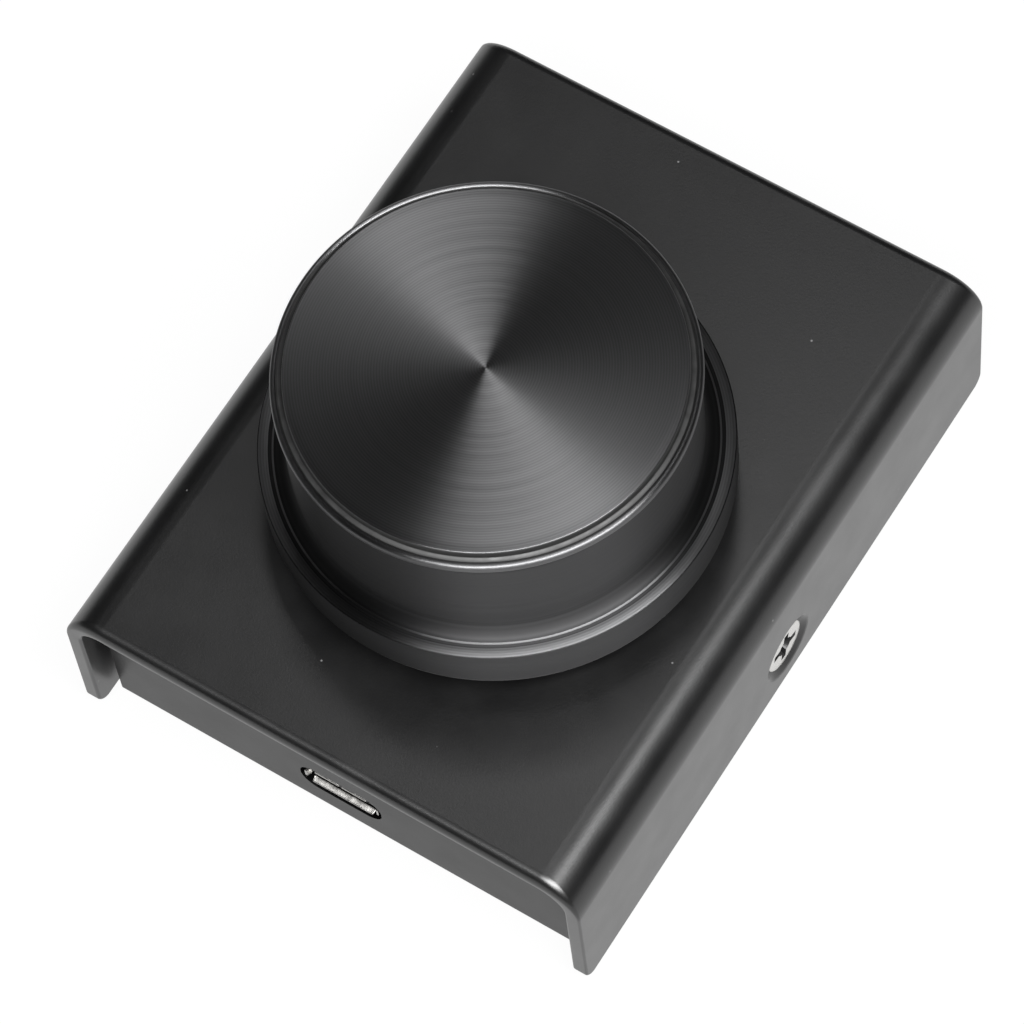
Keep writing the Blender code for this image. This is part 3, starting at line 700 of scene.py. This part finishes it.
def side_tab(sign):
    """A tab bent up from the tray's floor, with the hole that takes the side screw."""
    outer = COVER_HIGH.x - COVER_SHEET - TAB_GAP
    inner = outer - TRAY_SHEET
    root = outer - TAB_ROOT
    low = TRAY_LOW.z
    high = low + TAB_HEIGHT
    bend = TRAY_SHEET + TAB_GAP
    outline = [(root, low)]
    outline += arc((outer - bend, low + bend), bend, 270, 360, 8)
    outline += [(outer, high), (inner, high), (inner, low + TRAY_SHEET), (root, low + TRAY_SHEET)]
    if sign < 0:
        outline = [(-x, z) for x, z in outline]
    piece = prism(f"side_tab_{sign}", outline, "Y", -TAB_HALF_LENGTH, TAB_HALF_LENGTH)
    centre, side_sign = screw_centre("right" if sign > 0 else "left")
    radius = TAB_HOLE_RADIUS
    depth = 0.006
    profile = [(0, OVER), (radius, OVER), (radius, -depth), (0, -depth)]
    hole = turned("tab_hole", profile, (0, 0, 0), 48)
    face_sideways(hole, centre, side_sign)
    boolean(piece, [hole], "DIFFERENCE")
    return piece


def feet():
    """Four round rubber feet with soft lower edges."""
    for end in ("front", "rear"):
        for side in ("left", "right"):
            low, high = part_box(f"foot_{end}_{side}")
            centre = ((low.x + high.x) / 2, (low.y + high.y) / 2, 0.0)
            radius = (high.x - low.x) / 2
            round_radius = 0.00035
            profile = [(0, high.z), (radius, high.z)]
            profile += arc((radius - round_radius, low.z + round_radius), round_radius, 0, -90, 5)
            profile += [(0, low.z)]
            piece = turned(f"rubber_foot_{end}_{side}", profile, centre, 64)
            smooth(piece)
            finish_piece(piece, "case", RUBBER, "rubber", f"foot_{end}_{side}")


# ---------------------------------------------------------------- socket


def socket_section(side, floor, roof, low, high):
    """The socket's keystone section about its centre, narrower at the top."""
    right = [(floor, low), (side, low * 0.55), (side, high * 0.15), (roof, high)]
    return right + [(-x, z) for x, z in reversed(right)]


def lofted_tube(name, stations, thickness):
    """A sheet tube through sections, each at its own depth."""
    shape = bmesh.new()
    rings = []
    for y, section in stations:
        rings.append([shape.verts.new((x, y, SOCKET_Z + z)) for x, z in section])
    for front, rear in zip(rings, rings[1:]):
        for index in range(len(front)):
            follow = (index + 1) % len(front)
            shape.faces.new((front[index], front[follow], rear[follow], rear[index]))
    piece = add_object(name, shape)
    wall = piece.modifiers.new("wall", "SOLIDIFY")
    wall.thickness = thickness
    wall.offset = -1.0
    return piece


def petal(name, points, width_front, width_rear, centre_x):
    """A bent flap of sheet: (depth, height) points, its width running from front to rear."""
    shape = bmesh.new()
    rows = []
    for index, (y, z) in enumerate(points):
        share = index / (len(points) - 1)
        half = (width_front + (width_rear - width_front) * share) / 2
        left = shape.verts.new((centre_x - half, y, SOCKET_Z + z))
        right = shape.verts.new((centre_x + half, y, SOCKET_Z + z))
        rows.append((left, right))
    for front, rear in zip(rows, rows[1:]):
        shape.faces.new((front[0], front[1], rear[1], rear[0]))
    piece = add_object(name, shape)
    wall = piece.modifiers.new("wall", "SOLIDIFY")
    wall.thickness = PETAL_SHEET
    wall.offset = 0.0
    edge = piece.modifiers.new("edge", "BEVEL")
    edge.width = PETAL_SHEET * 0.3
    edge.segments = 2
    return piece


def socket_tube():
    """The shell's keystone tube, behind its mouth, in a dark grey metal: painted shade for its shadowed
    inside.
    """
    front = SOCKET_LOW.y
    throat = socket_section(0.00375, 0.0032, 0.0029, -0.00125, 0.00125)
    lip = socket_section(0.00378, 0.00322, 0.00292, -0.00128, 0.00128)
    stations = ((front + 0.0007, lip), (front + 0.0056, throat))
    tube = lofted_tube("socket_shell", stations, 0.00025)
    edge = tube.modifiers.new("edge", "BEVEL")
    edge.width = 0.00005
    edge.segments = 2
    edge.limit_method = "ANGLE"
    finish_piece(tube, "case", SHADED, "nickel_plate", "usb_shell")


def socket_petals():
    """The flared mouth's flaps: two above with a gap between them, and one below."""
    front = SOCKET_LOW.y
    depths = (0.0, 0.00010, 0.00022, 0.00040, 0.00060)
    heights_up = (0.00138, 0.00131, 0.00124, 0.00117, 0.00113)
    heights_down = (-0.00136, -0.00131, -0.00125, -0.00119, -0.00114)
    curve_up = [(front + depth, z) for depth, z in zip(depths, heights_up)]
    curve_down = [(front + depth, z) for depth, z in zip(depths, heights_down)]
    flaps = (
        ("socket_flap_top_left", curve_up, 0.00268, 0.0026, -0.00144),
        ("socket_flap_top_right", curve_up, 0.00270, 0.0026, 0.00147),
        ("socket_flap_bottom", curve_down, 0.00654, 0.0068, 0.0),
    )
    for name, points, width_front, width_rear, centre_x in flaps:
        piece = petal(name, points, width_front, width_rear, centre_x)
        smooth(piece)
        finish_piece(piece, "case", PLATE, "nickel_plate", "usb_shell")


def socket_cheeks():
    """The flared mouth's two side flaps."""
    front = SOCKET_LOW.y
    thickness = 0.00022
    low = SOCKET_Z - 0.0006
    high = SOCKET_Z + 0.0004
    for side, sign in (("left", -1), ("right", 1)):
        lip = (sign * 0.0040, front)
        middle = (sign * 0.00385, front + 0.0003)
        root = (sign * 0.00368, front + 0.0009)
        points = [lip, middle, root]
        outline = points + [(x - sign * thickness, y) for x, y in reversed(points)]
        piece = prism(f"socket_flap_{side}", outline, "Z", low, high)
        smooth(piece)
        finish_piece(piece, "case", PLATE, "nickel_plate", "usb_shell")


# ---------------------------------------------------------------- knob

# Radii of the knob, and the heights of its details
KNOB_BOTTOM = KNOB_LOW.z
KNOB_TOP = KNOB_HIGH.z
RING_Z = KNOB_BOTTOM + 0.0055
FACE_EDGE = 0.01775
CHANNEL_Z = KNOB_TOP - 0.00072
BEAD = 0.0190
BEAD_ROUND = 0.00036
BEAD_CENTRE_Z = KNOB_TOP - 0.00106
BEAD_LOW_Z = KNOB_TOP - 0.00152
WALL = 0.0187


def knob_upper_profile():
    """(radius, height) points from the face's middle, over the channel and the bead, to the wall."""
    profile = [(0, KNOB_TOP), (FACE_EDGE - 0.00003, KNOB_TOP), (FACE_EDGE + 0.00003, KNOB_TOP - 0.00003)]
    profile += [(FACE_EDGE + 0.00009, KNOB_TOP - 0.00012), (FACE_EDGE + 0.00013, CHANNEL_Z + 0.00008)]
    profile += [(FACE_EDGE + 0.00020, CHANNEL_Z), (FACE_EDGE + 0.00056, CHANNEL_Z - 0.00008)]
    profile += arc((BEAD - BEAD_ROUND, BEAD_CENTRE_Z), BEAD_ROUND, 145, 0, 14)
    profile += [(BEAD, BEAD_LOW_Z + 0.00010), (BEAD - 0.00005, BEAD_LOW_Z + 0.00003)]
    profile += [(BEAD - 0.00012, BEAD_LOW_Z)]
    profile += [(WALL - 0.00006, BEAD_LOW_Z - 0.00003), (WALL - 0.00006, BEAD_LOW_Z - 0.00015)]
    profile += [(WALL, BEAD_LOW_Z - 0.00020)]
    return profile


def knob_lower_profile():
    """(radius, height) points from the fillet at the wall's foot, round the flange, to the bore's end."""
    flange = (KNOB_HIGH.x - KNOB_LOW.x) / 2
    fillet = 0.0017
    recess = 0.0080
    recess_top = KNOB_BOTTOM + 0.0010
    bore = 0.0053
    bore_top = KNOB_BOTTOM + 0.0142
    profile = arc((WALL + fillet, RING_Z - 0.00003 + fillet), fillet, 180, 268, 14)
    profile += [(0.0205, RING_Z), (flange - 0.00012, RING_Z), (flange - 0.00003, RING_Z - 0.00004)]
    profile += [(flange, RING_Z - 0.00013), (flange, KNOB_BOTTOM + 0.00092)]
    profile += [(flange - 0.00003, KNOB_BOTTOM + 0.00084)]
    profile += [(flange - 0.00028, KNOB_BOTTOM + 0.00010), (flange - 0.00038, KNOB_BOTTOM)]
    profile += [(recess + 0.0001, KNOB_BOTTOM), (recess, KNOB_BOTTOM + 0.0001), (recess, recess_top)]
    profile += [(bore + 0.0001, recess_top), (bore, recess_top + 0.0001), (bore, bore_top), (0, bore_top)]
    return profile


def knob():
    """The turned knob: face, channel with painted shade, bead, wall, fillet, ring, tapered flange and
    recess.
    """
    piece = turned("turned_knob", knob_upper_profile() + knob_lower_profile(), KNOB_AXIS, 256)
    smooth(piece)
    finish_piece(piece, "knob", KNOB, "black_anodised_aluminium", "knob_shell")
    piece.data.materials.append(CHANNEL_SHADE)
    piece.data.materials.append(KNOB_SIDE)
    # Faces in the channel take material 1, the near-black painted shade
    channel_inner = FACE_EDGE + 0.00010
    channel_outer = BEAD - 1.6 * BEAD_ROUND
    for face in piece.data.polygons:
        away = math.hypot(face.center.x, face.center.y)
        if face.center.z > BEAD_CENTRE_Z and channel_inner < away < channel_outer:
            face.material_index = 1
        if face.center.z < BEAD_LOW_Z - 0.0001 and abs(face.center.z - RING_Z) > 0.000008:
            face.material_index = 2


def turned_hardware():
    """Finer washer and spacer, as rings with small chamfers."""
    for node, name in (("bushing_washer", "washer"), ("bushing_spacer", "spacer")):
        low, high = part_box(node)
        outer = (high.x - low.x) / 2
        inner = NUT_BORE_RADIUS
        edge = 0.00006
        profile = [
            (inner, high.z),
            (outer - edge, high.z),
            (outer, high.z - edge),
            (outer, low.z + edge),
            (outer - edge, low.z),
            (inner, low.z),
        ]
        piece = turned(name, profile, KNOB_AXIS, 96, closed=True)
        smooth(piece)
        finish_piece(piece, "case", STEEL, "steel", node)


def hexagon_nut():
    """The bushing's nut, with its corners chamfered."""
    low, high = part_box("bushing_nut")
    corner = (high.x - low.x) / 2
    centre = (low.z + high.z) / 2
    outline = []
    for index in range(6):
        angle = math.radians(60 * index)
        outline.append((corner * math.cos(angle), corner * math.sin(angle)))
    piece = prism("nut", outline, "Z", low.z, high.z)
    piece.data.transform(Matrix.Translation(KNOB_AXIS))
    flat = corner * math.cos(math.radians(30))
    clear = corner * 1.05
    profile = [
        (0, high.z),
        (flat, high.z),
        (clear, high.z - 0.0006),
        (clear, centre),
        (clear, low.z),
        (0, low.z),
    ]
    envelope = turned("nut_envelope", profile, KNOB_AXIS, 96)
    boolean(piece, [envelope], "INTERSECT")
    radius = NUT_BORE_RADIUS
    bore_profile = [(0, high.z + OVER), (radius, high.z + OVER), (radius, low.z - OVER), (0, low.z - OVER)]
    bore = turned("nut_bore", bore_profile, KNOB_AXIS, 96)
    boolean(piece, [bore], "DIFFERENCE")
    smooth(piece)
    finish_piece(piece, "case", NICKEL, "nickel_plate", "bushing_nut")


# ---------------------------------------------------------------- carried-over nodes


def carried_over():
    """Better materials for the CAD nodes that stay."""
    looks = {
        "board_screw": NICKEL,
        "encoder_pin": NICKEL,
        "switch_pin": NICKEL,
        "crystal_can": NICKEL,
        "standoff": STEEL,
        "encoder_bushing": STEEL,
        "encoder_shaft": STEEL,
        "switch_disc": STEEL,
        "usb_contact": GOLD,
        "detent_spring": GOLD,
        "circuit_board": MASK,
        "capacitor": CERAMIC,
        "knob_insert": PLASTIC,
        "encoder_case": PLASTIC,
        "encoder_rotor": PLASTIC,
        "switch_plunger": PLASTIC,
        "controller_chip": PLASTIC,
        "usb_insulator": PLASTIC,
    }
    for name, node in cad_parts.items():
        for start, material in looks.items():
            if name.startswith(start):
                node.data.materials.clear()
                node.data.materials.append(material)


# ---------------------------------------------------------------- stage


def camera():
    """A long lens from the front right, high above the table, turned so that the unit lies at a slant."""
    data = bpy.data.cameras.new("camera")
    data.sensor_width = 36.0
    data.lens = 188.25
    data.clip_start = 0.01
    data.clip_end = 20.0
    place = (0.13805, -0.16854, 0.45515)
    right = Vector((0.84445837, 0.53168656, -0.06480333))
    down = Vector((0.45641456, -0.77761335, -0.4324387))
    forward = Vector((-0.28031377, 0.33559929, -0.89933159))
    turn = Matrix((right, -down, -forward)).transposed()
    view = bpy.data.objects.new("camera", data)
    view.matrix_world = Matrix.Translation(place) @ turn.to_4x4()
    bpy.context.scene.collection.objects.link(view)
    bpy.context.scene.camera = view


def floor():
    """A very large pale floor, lit mostly from within like a light table."""
    half = 30.0
    corners = ((-half, -half), (half, -half), (half, half), (-half, half))
    shape = bmesh.new()
    shape.faces.new([shape.verts.new((x, y, 0.0)) for x, y in corners])
    plane = add_object("floor", shape)
    material, nodes = new_material("pale_floor", Roughness=0.9)
    nodes.shader.inputs["Base Color"].default_value = (0.03, 0.03, 0.03, 1.0)
    nodes.shader.inputs["Emission Color"].default_value = (1.0, 1.0, 1.0, 1.0)
    nodes.shader.inputs["Emission Strength"].default_value = 0.94
    nodes.shader.inputs["Specular IOR Level"].default_value = 0.0
    plane.data.materials.append(material)


def panel(name, centre, size, turn, radiance):
    """A rectangular light that faces down.

    Its centre and size are shares of the panels' height, and its turn is in degrees.
    """
    data = bpy.data.lights.new(name, "AREA")
    data.shape = "RECTANGLE"
    data.size = size[0] * PANEL_HEIGHT
    data.size_y = size[1] * PANEL_HEIGHT
    data.energy = radiance * math.pi * data.size * data.size_y
    light = bpy.data.objects.new(name, data)
    light.location = (centre[0] * PANEL_HEIGHT, centre[1] * PANEL_HEIGHT, PANEL_HEIGHT + KNOB_LOW.z)
    light.rotation_euler = (0.0, 0.0, math.radians(turn))
    bpy.context.scene.collection.objects.link(light)


def lights():
    """A strong panel to the front right, a small one behind and a dim one to the left, in a dark room."""
    panel("key_panel", centre=(0.43, -0.35), size=(0.60, 1.14), turn=-35, radiance=22.0)
    panel("rear_panel", centre=(-0.14, 0.32), size=(0.15, 0.30), turn=58, radiance=4.3)
    panel("left_panel", centre=(-0.76, -0.16), size=(0.10, 1.22), turn=7, radiance=1.2)
    world = bpy.data.worlds.new("room")
    world.use_nodes = True
    background = world.node_tree.nodes["Background"]
    background.inputs["Color"].default_value = (1.0, 1.0, 1.0, 1.0)
    background.inputs["Strength"].default_value = 0.04
    bpy.context.scene.world = world
    bpy.context.scene.view_settings.view_transform = "Standard"


def build():
    """Make every piece, then the stage."""
    camera()
    cover()
    for side in ("left", "right"):
        side_screw(side)
    tray()
    feet()
    socket_tube()
    socket_petals()
    socket_cheeks()
    knob()
    turned_hardware()
    hexagon_nut()
    carried_over()
    floor()
    lights()


build()
